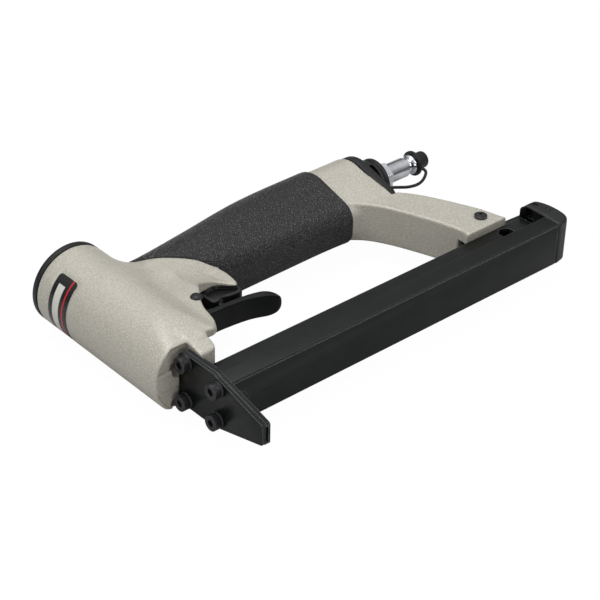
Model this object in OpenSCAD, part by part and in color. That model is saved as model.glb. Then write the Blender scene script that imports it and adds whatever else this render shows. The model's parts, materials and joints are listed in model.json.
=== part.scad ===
// Pneumatic fine-wire stapler, lying on its right-hand side.
// X runs from the head to the rear, Y from the nose tip to the head cap, Z across the tool.
// The shapes are drawn about the head's axis (x = 0, z = 0) with y = 0 on the magazine's
// underside, and lay() then moves them so that the origin is under the middle of the part.

/* [Head] */
// Radius of the head
head_r = 23; // [22.5:0.1:23.5]
// Height of the head's lower face above the magazine's underside
head_bottom = 34; // [33.6:0.1:34.2]
// Height of the head's upper face
head_top = 133.6; // [132:0.1:135]
// Radius of the bore that holds the cylinder
bore_r = 17.2; // [17:0.1:17.4]
// Thickness of the head cap
cap_t = 3.6; // [3:0.1:4]

/* [Drive] */
// Inside radius of the cylinder sleeve
sleeve_ri = 12.5; // [12.4:0.1:12.6]
// Travel of the piston and the driver blade
stroke = 38; // [30:1:38]
// Width of a staple's crown
crown_w = 9.2; // [9:0.1:9.3]

/* [Handle] */
// Thickness of the rubber grip
grip_t = 1.5; // [1.2:0.1:1.6]
// Rear end of the rubber grip
grip_end = 152; // [150:0.1:154]
// Rear face of the handle casting
handle_end = 178.3; // [178:0.1:178.6]
// Half thickness of the rear arm
arm_half = 12; // [11:0.1:12.5]

/* [Magazine] */
// Width of the magazine cover
mag_w = 26; // [25.8:0.1:26.2]
// Height of the magazine cover
mag_h = 10.3; // [10.2:0.1:10.4]
// Rear end of the magazine cover
mag_end = 225.5; // [225:0.1:226]
// Width of the fixed rail
rail_w = 14; // [13.8:0.1:14.2]
// Top of the fixed rail
rail_top = 24.3; // [24.2:0.05:24.35]
// Rear face of the magazine's end cap
rear_x = 237.3; // [237:0.1:238]

/* [Air inlet] */
// Height of the air plug's axis
plug_y = 114; // [113.5:0.1:114.5]
// Width across flats of the air plug's hexagon
plug_af = 14.3; // [14:0.1:14.3]

/* [Hidden] */
$fn = 96;
nose_tip = -28.2;
plate_x0 = -7.5;
plate_x1 = -5.3;
slot_x1 = -4.1;
cap_y0 = head_top + 0.4;
cap_y1 = cap_y0 + cap_t;
sleeve_top = 106;
bore_floor = 48;
piston_y = 96;
pin_x = 26;
pin_y = 63;
valve_x = 48;
stick_end = 79;
pusher_x = 79.2;
rod_y = 16;
deflector_r = 12.5;
plug_x = 197.3;
screw_x = 199.2;
screw_y = 33.1;
latch_x = 230.5;
latch_y = 22;
eps = 0.01;

// Moves the tool from its drawing axes to its place on the floor
module lay() {
    translate([(head_r - rear_x) / 2, -(nose_tip + cap_y1) / 2, head_r]) children();
}

// Cylinders along each axis, and a block between two corners
module along_x(r, x0, x1, y, z) {
    translate([x0, y, z]) rotate([0, 90, 0]) cylinder(h = x1 - x0, r = r);
}
module along_y(r, y0, y1, x = 0, z = 0) {
    translate([x, y0, z]) rotate([-90, 0, 0]) cylinder(h = y1 - y0, r = r);
}
module along_z(r, z0, z1, x, y) {
    translate([x, y, z0]) cylinder(h = z1 - z0, r = r);
}
module block(x0, x1, y0, y1, z0, z1) {
    translate([x0, y0, z0]) cube([x1 - x0, y1 - y0, z1 - z0]);
}
// A block with rounded edges along X
module bar_x(x0, x1, y0, y1, half, r) {
    block(x0, x1, y0 + r, y1 - r, -half, half);
    block(x0, x1, y0, y1, -half + r, half - r);
    for (y = [y0 + r, y1 - r], z = [-half + r, half - r]) along_x(r, x0, x1, y, z);
}
// A flat outline given as [x, y] points, extruded evenly to both sides
module profile(points, half) {
    translate([0, 0, -half]) linear_extrude(2 * half) polygon(points);
}
// A socket-head screw along +X with its head ending at x
module cap_screw(x, y, z, r, head_rad, head_h, len) {
    difference() {
        union() {
            along_x(head_rad, x - head_h, x, y, z);
            along_x(r, x - eps, x + len, y, z);
        }
        translate([x - head_h - 1, y, z]) rotate([0, 90, 0])
            cylinder(h = head_h * 0.6 + 1, r = head_rad * 0.52, $fn = 6);
    }
}

// Outline of the web between the head and the handle
WEB = [[0, 37.5], [10.7, 36.4], [13.7, 35.9], [16.3, 36.8], [19.1, 39.5], [21.1, 43], [22.4, 48.1],
       [23.7, 53.3], [25.6, 57.9], [28.5, 62.9], [31.8, 67.7], [36, 73], [40, 80], [44, 90],
       [44, 96], [39, 100], [0, 100]];
// Outline of the thinner cheek that runs on from the web beside the valve block
CHEEK_TIP = [[38.6, 75.6], [48.8, 76], [56.4, 69.6], [58.8, 70.8], [60.2, 84],
             [59.8, 85.9], [57, 86.8], [52.4, 89.6], [46.6, 94.4], [38, 94]];
// Outline of what the rubber leaves bare at the front of the handle
GRIP_FRONT = [[-20, 60], [-20, 141.6], [25.9, 109.4], [36.4, 102], [46.9, 94.6], [52.7, 89.8],
              [57.2, 87], [60.6, 86], [60.6, 60]];
// Handle sections from front to rear: position, back centre and radius, belly height, offset and radius
SECTIONS = [
    [6, 102, 16.5, 95, 9, 7.5],
    [30, 103.7, 17, 95, 9, 8],
    [60, 107.1, 17.5, 95, 8, 8],
    [100, 115.5, 16.8, 92.5, 4, 7],
    [grip_end + 0.5, 115, 17.6, 92.8, 3.4, 8.6],
    [handle_end - 0.2, 113, 18.8, 89, 5.5, 7]
];
// Outline of a section on the plane across the handle, made larger by grow
module section(s, grow = 0) {
    translate([s[1], 0]) circle(r = s[2] + grow, $fn = 40);
    for (side = [-1, 1]) translate([s[3], side * s[4]]) circle(r = s[5] + grow, $fn = 32);
}
module slice(s, grow = 0, x = undef, t = 0.2) {
    translate([is_undef(x) ? s[0] : x, 0, 0]) rotate([90, 0, 90])
        linear_extrude(t) section(s, grow);
}
// The handle's skin between two sections
module span(i, grow = 0) {
    hull() {
        slice(SECTIONS[i], grow);
        slice(SECTIONS[i + 1], grow);
    }
}

// Sweeps a round wire of radius r along the points p, with u as a direction that stays off the path
module wire(p, r, u, sides = 8) {
    n = len(p);
    function unit(v) = v / norm(v);
    function dir(i) = unit(p[min(i + 1, n - 1)] - p[max(i - 1, 0)]);
    rings = [for (i = [0:n - 1]) let (t = dir(i), a = unit(cross(t, u)), b = cross(t, a))
        for (k = [0:sides - 1]) p[i] + r * (cos(360 * k / sides) * a + sin(360 * k / sides) * b)];
    walls = [for (i = [0:n - 2], k = [0:sides - 1]) let (a = i * sides, m = (k + 1) % sides)
        each [[a + k, a + m, a + sides + m], [a + k, a + sides + m, a + sides + k]]];
    ends = [[for (k = [sides - 1:-1:0]) k], [for (k = [0:sides - 1]) (n - 1) * sides + k]];
    polyhedron(rings, concat(walls, ends), convexity = 10);
}
// A compression spring standing on z = 0
module coil(r, w, len, turns, steps = 14) {
    n = round(turns * steps);
    path = [for (i = [0:n]) [r * cos(360 * i / steps), r * sin(360 * i / steps),
                             w + (len - 2 * w) * i / n]];
    wire(path, w, [0, 0, 1], 6);
}

// Outline of the nose, from the tip up, narrowed by inset
module nose_outline(w0, w1, top) {
    polygon([[nose_tip, 1 - w0], [nose_tip, w0 - 1], [nose_tip + 1, w0], [5, w1 - 1.1],
             [8, w1], [top - 3, w1], [top, w1 - 3], [top, 3 - w1], [top - 3, -w1],
             [8, -w1], [5, 1.1 - w1], [nose_tip + 1, -w0]]);
}
module nose_sheet(w0, w1, top, x0, x1) {
    translate([x0, 0, 0]) rotate([90, 0, 90]) linear_extrude(x1 - x0) nose_outline(w0, w1, top);
}
NOSE_SCREWS = [[28.6, 11.3], [28.6, -11.3], [4.6, 9.15], [4.6, -9.15]];
CAP_SCREW_ANGLES = [45, 135, 225, 315];
END_PLATE_SCREWS = [[124, 10.5], [124, -10.5], [91, 6], [91, -6]];

module housing() {
    color([0.70, 0.69, 0.65]) lay() difference() {
        union() {
            difference() {
                rotate([-90, 0, 0]) rotate_extrude() polygon([[0, head_bottom], [head_r - 2, head_bottom],
                    [head_r - 0.6, head_bottom + 0.6], [head_r, head_bottom + 2], [head_r, head_top],
                    [0, head_top]]);
                intersection() {
                    along_y(head_r - 2, head_bottom - 1, head_bottom + 2.6);
                    union() {
                        block(-30, 30, 30, 40, 5.2, 16.4);
                        block(-30, 30, 30, head_bottom + 0.8, -16.4, -5.2);
                    }
                }
            }
            block(-2.3, 8.7, rail_top, 42, -18.8, 18.8);
            profile(WEB, 17);
            profile(concat([[33, 71.2]], CHEEK_TIP), 11);
            for (i = [0:4]) span(i);
            profile([[152.05, 95], [152.05, 88.6], [153, 88], [161, 81], [167, 71], [173, 57], [178, 43],
                     [181, 31], [181.7, rail_top], [209.3, rail_top], [209.5, 26.5], [206.3, 39],
                     [201.3, 51], [196.3, 61.6], [191.3, 71], [186.5, 78], [184.4, 81],
                     [handle_end, 81.6], [handle_end, 95]], arm_half);
        }
        // cylinder chamber, driver slot and the pocket that takes the nose
        along_y(bore_r, bore_floor, head_top + 1);
        block(-5.5, -3.9, 30, bore_floor + 1, -4.9, 4.9);
        block(plate_x0 - 0.2, -2.3, 20, 35.3, -15.8, 15.8);
        for (p = [[4, -8, 4], [3, -9.5, -15.5]]) along_y(p[0], 25, 44, p[1], p[2]);
        // the hollow behind the lug, room below the web, and the taper of the head's sides
        block(8.9, 30, 20, bore_floor - 1.5, -13.5, 13.5);
        profile([[8.75, 20], [8.75, 36.4], [10.7, 36.4], [13.7, 35.9], [16.3, 36.8], [19.1, 39.5],
                 [21.1, 43], [22.4, 48.1], [23.7, 53.3], [25.6, 57.9], [28.5, 62.9], [60, 62.9],
                 [60, 20]], 30);
        for (s = [0, 1]) mirror([0, 0, s]) rotate([90, 0, 90]) translate([0, 0, -24])
            linear_extrude(48) polygon([[20, 14.6], [52.4, head_r], [52.4, 30], [20, 30]]);
        for (z = [-11.3, 11.3]) along_x(2.5, -3, 8, 28.6, z);
        for (a = CAP_SCREW_ANGLES) rotate([0, a, 0]) along_y(1.5, 120, head_top + 1, 19.6);
        // recess that the label lies in
        rotate([-90, 0, 0]) rotate([0, 0, 125]) rotate_extrude(angle = 110)
            translate([head_r - 0.2, 107.9]) square([1, 15.2]);
        // air chamber, trigger gap, valve bore and pivot
        along_x(10, 15, handle_end + 1, 106, 0);
        block(20.8, 62, 30, 84, -7.4, 7.4);
        block(38.2, 50.3, 80, 88.2, -7.8, 7.8);
        along_y(6.1, 80, 104, valve_x);
        along_z(2.02, -30, 30, pin_x, pin_y);
        // fork over the rail bracket
        block(184.9, 211, 20, 38, -5, 5);
        block(175, 186, 20, 31.5, -5, 5);
        along_z(2.6, -30, 30, screw_x, screw_y);
        for (p = END_PLATE_SCREWS) along_x(1.65, 165, handle_end + 1, p[0], p[1]);
        along_y(head_r - 2, head_top, head_top + 1);
    }
}

module grip_sleeve() {
    color([0.2, 0.2, 0.21]) lay() difference() {
        union() for (i = [1:3]) span(i, grip_t);
        for (i = [1:3]) span(i, 0.05);
        profile(GRIP_FRONT, 30);
        along_y(head_r + 0.3, 60, 140);
        block(grip_end, 160, 60, 150, -30, 30);
    }
}

module head_cap() {
    color([0.1, 0.1, 0.1]) lay() difference() {
        union() {
            along_y(head_r, cap_y0, cap_y1 - 0.6);
            along_y(head_r - 0.6, cap_y1 - 1, cap_y1);
            along_y(bore_r - 0.1, 129.6, cap_y0 + 0.5);
        }
        for (a = CAP_SCREW_ANGLES) rotate([0, a, 0]) {
            along_y(1.7, 120, 140, 19.6);
            along_y(2.9, cap_y1 - 2.6, 140, 19.6);
        }
        along_y(6.4, 125, 131.6);
    }
}

module head_cap_gasket() {
    color([0.15, 0.15, 0.15]) lay() difference() {
        along_y(head_r - 0.1, head_top, cap_y0);
        along_y(bore_r, head_top - 1, cap_y0 + 1);
        for (a = CAP_SCREW_ANGLES) rotate([0, a, 0]) along_y(1.7, 130, 140, 19.6);
    }
}

module head_cap_screws() {
    color([0.2, 0.2, 0.2]) lay() for (a = CAP_SCREW_ANGLES) rotate([0, a, 0])
        translate([19.6, cap_y1 - 2.6, 0]) rotate([0, 0, -90]) cap_screw(0, 0, 0, 1.45, 2.7, 2.2, 11);
}

module label() {
    color([0.08, 0.08, 0.08]) lay() rotate([-90, 0, 0]) rotate([0, 0, 126])
        rotate_extrude(angle = 108) translate([head_r - 0.19, 108]) square([0.17, 15]);
}

module cylinder_sleeve() {
    color([0.75, 0.75, 0.76]) lay() difference() {
        union() {
            along_y(15, bore_floor, sleeve_top);
            along_y(bore_r - 0.02, 88, 92);
            along_y(bore_r - 0.02, bore_floor, 54);
        }
        along_y(sleeve_ri, bore_floor - 1, sleeve_top + 1);
        for (a = [0:60:300]) rotate([0, a, 0]) along_x(1.6, 10, 20, 60, 0);
    }
}

module piston() {
    color([0.7, 0.7, 0.7]) lay() difference() {
        union() {
            along_y(sleeve_ri - 0.05, piston_y, piston_y + 7);
            along_y(6.8, piston_y - 5, piston_y + 1);
        }
        rotate([-90, 0, 0]) translate([0, 0, piston_y + 2.2]) difference() {
            cylinder(h = 2.6, r = 20);
            translate([0, 0, -1]) cylinder(h = 5, r = 10.4);
        }
        block(plate_x1, slot_x1, piston_y - 6, piston_y, -4.6, 4.6);
    }
}

module piston_o_ring() {
    color([0.05, 0.05, 0.05]) lay() rotate([-90, 0, 0]) translate([0, 0, piston_y + 3.5])
        rotate_extrude() translate([11.45, 0]) circle(r = 1, $fn = 24);
}

module driver_blade() {
    color([0.55, 0.55, 0.57]) lay()
        block(plate_x1 + 0.05, slot_x1 - 0.05, 12, piston_y - 0.02, -crown_w / 2 + 0.05, crown_w / 2 - 0.05);
}

module bumper() {
    color([0.25, 0.2, 0.15]) lay() difference() {
        along_y(sleeve_ri - 0.1, bore_floor, 57.8);
        along_y(7.2, bore_floor - 1, 60);
    }
}

module head_valve() {
    color([0.15, 0.15, 0.16]) lay() difference() {
        along_y(bore_r - 0.3, sleeve_top + 0.05, 114);
        along_y(6.4, 110, 115);
        along_y(2, 100, 115);
    }
}

module head_valve_spring() {
    color([0.6, 0.6, 0.6]) lay() translate([0, 110.1, 0]) rotate([-90, 0, 0]) coil(5, 0.6, 21.3, 6);
}

module nose_plate() {
    color([0.12, 0.13, 0.13]) lay() difference() {
        nose_sheet(6, 15.6, 35, plate_x0, plate_x1);
        for (p = NOSE_SCREWS) along_x(2.6, -10, 0, p[0], p[1]);
    }
}

module nose_body() {
    color([0.12, 0.13, 0.13]) lay() difference() {
        union() {
            nose_sheet(6.4, 15.4, 35, plate_x1, -2.8);
            block(-2.9, 0, 14, 24.1, -13, 13);
            for (s = [-1, 1]) block(-2.9, 5, 1.6, 7.2, s * 8.6 - 2.8, s * 8.6 + 2.8);
        }
        block(plate_x1 - 1, slot_x1, nose_tip - 1, 36, -crown_w / 2, crown_w / 2);
        block(-5, 6, 0.3, 11.2, -crown_w / 2 - 0.1, crown_w / 2 + 0.1);
        for (p = NOSE_SCREWS) along_x(p[0] > 10 ? 2.6 : 2.04, -10, 4.6, p[0], p[1]);
    }
}

module nose_washers() {
    color([0.3, 0.3, 0.3]) lay() for (p = NOSE_SCREWS) difference() {
        along_x(4.4, plate_x0 - 0.9, plate_x0, p[0], p[1]);
        along_x(2.6, -10, -6, p[0], p[1]);
    }
}

module nose_screws() {
    color([0.15, 0.15, 0.16]) lay() for (p = NOSE_SCREWS)
        cap_screw(plate_x0 - 0.9, p[0], p[1], p[0] > 10 ? 2.48 : 2.02, 4.2, 4.2, p[0] > 10 ? 15.5 : 12.5);
}

module magazine_rail() {
    color([0.12, 0.13, 0.13]) lay() difference() {
        union() {
            block(0.1, 222.3, 10.7, rail_top, -rail_w / 2, rail_w / 2);
            block(0.1, 222.3, 7.6, 8.8, -11.5, 11.5);
            block(0.1, 222.3, 7.6, 11, -6.9, 6.9);
            block(219, 220.4, rail_top - 0.1, 25.2, -4, 4);
        }
        block(-1, 223, 7, 22.8, -5.5, 5.5);
        along_z(4.5, 4, 20, 204.4, 18.2);
        along_z(4.5, -20, -4, 204.4, 18.2);
    }
}

module rail_bracket() {
    color([0.08, 0.08, 0.08]) lay() difference() {
        union() {
            block(185.2, 208.5, rail_top, rail_top + 1.6, -4.9, 4.9);
            block(187, 206, rail_top, 37.5, -4.9, 4.9);
        }
        block(189, 204, rail_top + 1.6, 29.6, -6, 6);
        along_z(2.6, -10, 10, screw_x, screw_y);
    }
}

module arm_screw() {
    color([0.1, 0.1, 0.1]) lay() difference() {
        union() {
            along_z(2.5, -14.6, arm_half + 0.1, screw_x, screw_y);
            along_z(3.6, arm_half, arm_half + 1.2, screw_x, screw_y);
            translate([screw_x, screw_y, arm_half + 1.2]) rotate_extrude()
                polygon([[0, -0.1], [3.6, -0.1], [3.2, 0.3], [2.2, 0.6], [0, 0.7]]);
        }
        translate([screw_x, screw_y, arm_half + 0.7]) cylinder(h = 3, r = 1.45, $fn = 6);
    }
}

module arm_nut() {
    color([0.2, 0.2, 0.2]) lay() difference() {
        translate([screw_x, screw_y, -arm_half - 3.4]) cylinder(h = 3.4, r = 4.4, $fn = 6);
        along_z(2.55, -20, 0, screw_x, screw_y);
    }
}

module magazine_cover() {
    color([0.12, 0.13, 0.13]) lay() difference() {
        bar_x(-2.75, mag_end, 0, mag_h, mag_w / 2, 0.7);
        // seam along the folded edge
        block(-4, mag_end + 1, -1, 0.4, mag_w / 2 - 1.5, mag_w / 2 - 1);
        block(-4, mag_end + 1, 1.2, 9.1, -mag_w / 2 + 1.2, mag_w / 2 - 1.2);
        block(-4, mag_end + 1, 8, 12, -rail_w / 2 - 0.3, rail_w / 2 + 0.3);
        // pressed stop behind the nose
        for (p = [[3.8, 3.8], [6.6, 0.2]]) along_y(1.2, -1, 0.5, p[0], p[1]);
        translate([5.2, -1, 2]) rotate([0, 52, 0]) translate([-2.3, 0, -1.2]) cube([4.6, 1.5, 2.4]);
    }
}

module magazine_core() {
    color([0.45, 0.45, 0.46]) lay() difference() {
        block(0.3, 224, 1.25, 9.5, -3.75, 3.75);
        block(-1, 225, 0.5, 8.6, -2.9, 2.9);
    }
}

module staple_stick() {
    color([0.75, 0.75, 0.76]) lay() difference() {
        block(slot_x1 + 0.05, stick_end, 1.4, 10.35, -crown_w / 2 + 0.05, crown_w / 2 - 0.05);
        block(-10, stick_end + 1, 1, 9.65, -3.87, 3.87);
    }
}

module staple_pusher() {
    color([0.3, 0.3, 0.3]) lay() difference() {
        union() {
            block(pusher_x, pusher_x + 12, 1.6, 10.3, -4.6, 4.6);
            block(pusher_x, pusher_x + 4.8, 10, 20, -4.6, 4.6);
        }
        block(pusher_x - 1, pusher_x + 13, 1, 9.65, -3.87, 3.87);
        along_x(1.56, pusher_x - 1, pusher_x + 6, rod_y, 0);
    }
}

module pusher_rod() {
    color([0.6, 0.6, 0.6]) lay() along_x(1.5, 4, 229, rod_y, 0);
}

module pusher_spring() {
    color([0.6, 0.6, 0.6]) lay() translate([pusher_x + 4.9, rod_y, 0]) rotate([0, 90, 0])
        coil(3.4, 0.45, 226.1 - pusher_x - 4.9, 18, 12);
}

module magazine_end_cap() {
    color([0.08, 0.08, 0.08]) lay() difference() {
        union() {
            profile([[mag_end + 0.05, 0], [231.5, 0], [234.5, 1.5], [236.3, 4.3], [237.1, 8], [rear_x, 12],
                     [237, 16], [235.4, 23.4], [234.6, 25], [233, 25.7], [222.5, 25.7],
                     [222.5, 24.5], [mag_end + 0.05, 24.5]], 13.3);
            for (s = [-1, 1]) block(214, 227, 1.25, 7.2, s * 7.9 - 3.6, s * 7.9 + 3.6);
        }
        block(227, 235, 1.5, 24.4, -11.8, 11.8);
        block(214, 228, 10.3, 24.5, -11.8, 11.8);
        block(222, 228, 1.2, 24.5, -3.9, 3.9);
        block(222, 238, 24.3, 27, -5.4, 5.4);
        along_z(1.52, -20, 20, latch_x, latch_y);
        along_z(1.52, -20, 20, 232.5, 14);
    }
    color([0.08, 0.08, 0.08]) lay() difference() {
        union() {
            block(226.2, 229, 12, 18.5, -11.9, 11.9);
            block(226.2, 235.1, 15.6, 16.1, -11.9, 11.9);
        }
        along_x(1.52, 220, 235, rod_y, 0);
    }
}

module latch_lever() {
    color([0.1, 0.1, 0.1]) lay() difference() {
        union() {
            profile([[214.6, 25.4], [218.8, 25.4], [218.8, 27], [225.6, 27], [228, 25.6], [228.4, 20.4],
                     [234, 20.4], [234.3, 23.6], [234, 25.4], [230, 26.4], [226.4, 28.8], [215.4, 29.4],
                     [213.6, 27.6]], 5);
            along_z(1.6, -5, 5, latch_x, latch_y);
        }
        along_z(1.55, -8, 8, latch_x, latch_y);
    }
}

module latch_pin() {
    color([0.5, 0.5, 0.5]) lay() along_z(1.5, -12.5, 12.5, latch_x, latch_y);
}

module end_cap_pin() {
    color([0.5, 0.5, 0.5]) lay() {
        along_z(1.5, -13.3, 13.3, 232.5, 14);
        for (s = [0, 1]) mirror([0, 0, s]) translate([232.5, 14, 13.3]) rotate_extrude()
            polygon([[0, 0], [1.9, 0], [1.7, 0.4], [1, 0.75], [0, 0.85]]);
    }
}

module latch_spring() {
    color([0.6, 0.6, 0.6]) lay() translate([232.4, 16.15, 4]) rotate([-90, 0, 0])
        coil(1.1, 0.2, 4.1, 4, 12);
}

module trigger() {
    color([0.1, 0.1, 0.1]) lay() difference() {
        union() {
            profile([[22, 60.2], [24.5, 59.3], [31, 59.2], [43, 58.8], [52, 57.8], [58, 56.6],
                     [63, 54.8], [69, 53.2], [72.4, 53.4], [74, 55], [73.2, 57], [70, 58.4],
                     [64, 59.6], [58, 60.8], [50, 61.9], [43, 62.4], [36, 62.7], [30.5, 64],
                     [26, 64]], 7);
            along_z(4.2, -7, 7, pin_x, pin_y);
        }
        along_z(2.06, -9, 9, pin_x, pin_y);
    }
}

module trigger_pin() {
    color([0.15, 0.14, 0.14]) lay() {
        along_z(2, -18.2, 17.1, pin_x, pin_y);
        translate([pin_x, pin_y, 17]) rotate_extrude()
            polygon([[0, 0], [3.25, 0], [3.25, 0.5], [2.7, 1.2], [1.6, 1.7], [0, 1.9]]);
    }
}

module trigger_valve_housing() {
    color([0.08, 0.08, 0.08]) lay() difference() {
        union() {
            profile([[38.5, 66.6], [40.5, 65.3], [46, 66.4], [52, 65.2], [57, 65.4], [58.6, 67.5],
                     [58.5, 71.3], [50, 79.4], [50, 88], [38.5, 88]], 7.3);
            along_y(6, 87, 103.9, valve_x);
        }
        for (s = [-1, 1]) translate([0, 0, s * 7.3])
            profile([[40.5, 69], [47, 67.6], [53.5, 67], [56.8, 68.4], [56.6, 70.6], [49.2, 77.4],
                     [42, 76.6]], 1.5);
        along_y(1.96, 60, 110, valve_x);
        along_y(3.4, 96, 110, valve_x);
    }
}

module trigger_valve_stem() {
    color([0.7, 0.7, 0.7]) lay() {
        along_y(1.9, 64.1, 97.5, valve_x);
        translate([valve_x, 64.1, 0]) sphere(r = 1.9);
        along_y(3.2, 96.1, 97.5, valve_x);
    }
}

module trigger_valve_spring() {
    color([0.6, 0.6, 0.6]) lay() translate([valve_x, 97.6, 0]) rotate([-90, 0, 0])
        coil(2.6, 0.35, 6.2, 4.5);
}

module rear_section(x0, x1) {
    translate([x0, 0, 0]) rotate([90, 0, 90]) linear_extrude(x1 - x0) hull() section(SECTIONS[5]);
}

module end_plate_gasket() {
    color([0.12, 0.12, 0.12]) lay() difference() {
        rear_section(handle_end, handle_end + 0.6);
        along_x(10, 170, 190, 106, 0);
        along_x(6.45, 170, 190, plug_y, 0);
        for (p = END_PLATE_SCREWS) along_x(1.7, 170, 190, p[0], p[1]);
    }
}

module rear_end_plate() {
    color([0.1, 0.1, 0.1]) lay() difference() {
        rear_section(handle_end + 0.6, 183.8);
        along_x(6.43, 170, 190, plug_y, 0);
        for (p = END_PLATE_SCREWS) {
            along_x(1.7, 170, 190, p[0], p[1]);
            along_x(2.6, 181.6, 190, p[0], p[1]);
        }
    }
}

module end_plate_screws() {
    color([0.2, 0.2, 0.2]) lay() for (p = END_PLATE_SCREWS)
        translate([181.6, p[0], p[1]]) mirror([1, 0, 0]) cap_screw(0, 0, 0, 1.6, 2.4, 2.1, 12);
}

module exhaust_deflector() {
    color([0.09, 0.09, 0.09]) lay() translate([0, plug_y, 0]) difference() {
        along_x(deflector_r, 183.85, 194.4, 0, 0);
        difference() {
            along_x(deflector_r - 1.6, 186, 192.4, 0, 0);
            along_x(8, 185, 193, 0, 0);
        }
        translate([186, 0, 0]) rotate([45, 0, 0]) translate([0, -7.5, 0]) cube([6.4, 15, 20]);
        along_x(6.46, 180, 200, 0, 0);
    }
}

module tether_ring() {
    color([0.06, 0.06, 0.06]) lay() difference() {
        along_x(12.8, 194.5, plug_x - 0.05, plug_y, 0);
        along_x(6.43, 190, 200, plug_y, 0);
    }
}

module air_plug() {
    color([0.8, 0.8, 0.82]) lay() translate([0, plug_y, 0]) difference() {
        union() {
            along_x(6.4, 179, plug_x + 1, 0, 0);
            translate([plug_x, 0, 0]) rotate([0, 90, 0])
                cylinder(h = 7.4, r = plug_af / sqrt(3), $fn = 6);
            rotate([0, 90, 0]) rotate_extrude() polygon([[0, 204], [5.6, 204], [5.8, 204.6],
                [5.8, 219.3], [5.2, 220], [4.2, 220.6], [4.2, 222.4], [5.3, 223.2], [5.9, 224.2],
                [5.9, 225.2], [5.5, 225.9], [0, 225.9]]);
        }
        along_x(3.2, 170, 230, 0, 0);
    }
}

module dust_cap() {
    color([0.07, 0.07, 0.07]) lay() translate([0, plug_y, 0]) rotate([0, 90, 0]) rotate_extrude()
        polygon([[0, 219], [3.05, 219], [3.05, 226], [7.1, 226], [7.5, 226.4], [7.5, 227.7],
                 [7.1, 228.1], [5, 228.4], [5, 234.6], [4.6, 235.6], [3.6, 236], [0, 236]]);
}

TETHER = [[197.4, 101.7], [199.4, 100.5], [202.2, 98.4], [205.3, 96.2], [208.9, 94.9], [212.7, 94.6],
          [216.6, 95.6], [220.4, 97.5], [223.2, 99.4], [225.6, 101.5], [227, 103.6], [227.2, 106.2]];
module tether() {
    color([0.06, 0.06, 0.06]) lay() wire([for (p = TETHER) [p[0], p[1], 0]], 0.9, [0, 0, 1]);
}

housing();
grip_sleeve();
head_cap();
head_cap_gasket();
head_cap_screws();
label();
cylinder_sleeve();
piston();
piston_o_ring();
driver_blade();
bumper();
head_valve();
head_valve_spring();
nose_plate();
nose_body();
nose_screws();
nose_washers();
magazine_rail();
rail_bracket();
magazine_cover();
magazine_core();
magazine_end_cap();
latch_lever();
latch_pin();
end_cap_pin();
latch_spring();
staple_pusher();
pusher_spring();
pusher_rod();
staple_stick();
arm_screw();
arm_nut();
trigger();
trigger_pin();
trigger_valve_housing();
trigger_valve_stem();
trigger_valve_spring();
rear_end_plate();
end_plate_gasket();
end_plate_screws();
exhaust_deflector();
tether_ring();
air_plug();
dust_cap();
tether();
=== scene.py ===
import json
import math

import bmesh
import bpy
import numpy as np
from mathutils import Matrix, Vector


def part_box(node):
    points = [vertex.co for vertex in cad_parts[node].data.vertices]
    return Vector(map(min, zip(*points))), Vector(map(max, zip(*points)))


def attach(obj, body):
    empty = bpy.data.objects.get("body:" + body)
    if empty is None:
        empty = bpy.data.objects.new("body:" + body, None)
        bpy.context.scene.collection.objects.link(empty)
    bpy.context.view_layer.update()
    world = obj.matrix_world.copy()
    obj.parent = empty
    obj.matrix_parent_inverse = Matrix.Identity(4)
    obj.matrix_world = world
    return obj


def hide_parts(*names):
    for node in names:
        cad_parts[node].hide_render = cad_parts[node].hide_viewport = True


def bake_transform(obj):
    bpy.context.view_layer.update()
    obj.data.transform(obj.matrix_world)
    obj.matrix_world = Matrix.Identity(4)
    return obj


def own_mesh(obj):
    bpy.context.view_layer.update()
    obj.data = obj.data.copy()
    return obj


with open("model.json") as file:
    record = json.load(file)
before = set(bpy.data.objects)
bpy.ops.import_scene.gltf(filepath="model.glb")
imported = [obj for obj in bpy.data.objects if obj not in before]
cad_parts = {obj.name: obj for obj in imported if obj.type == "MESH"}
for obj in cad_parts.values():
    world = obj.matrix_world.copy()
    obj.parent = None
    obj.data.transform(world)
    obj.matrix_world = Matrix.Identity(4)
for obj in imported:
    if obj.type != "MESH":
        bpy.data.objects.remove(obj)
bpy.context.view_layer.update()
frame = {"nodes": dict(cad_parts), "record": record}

MM = 0.001
HEAD_R = 23.0   # the head's radius, in millimetres like every other size below

# The tool's drawing axes: x = 0, z = 0 is the head's axis and y = 0 the magazine's underside.
# The CAD moves them by this much, read off its own nodes.
CAP_LO, CAP_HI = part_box("head_cap")
SHIFT = np.array([CAP_LO.x / MM + HEAD_R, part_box("magazine_cover")[0].y / MM,
                  (CAP_LO.z + CAP_HI.z) / MM / 2])
HEAD_X = SHIFT[0] * MM


def place(x, y, z=0.0):
    """A point of the drawing axes, in millimetres, as a point of the row frame in metres."""
    return Vector(((x + SHIFT[0]) * MM, (y + SHIFT[1]) * MM, (z + SHIFT[2]) * MM))


def srgb(r, g, b):
    """A colour given in 0-255 display values, as linear light."""
    linear = [c / 255 / 12.92 if c <= 10 else ((c / 255 + 0.055) / 1.055) ** 2.4 for c in (r, g, b)]
    return (*linear, 1.0)


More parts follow.
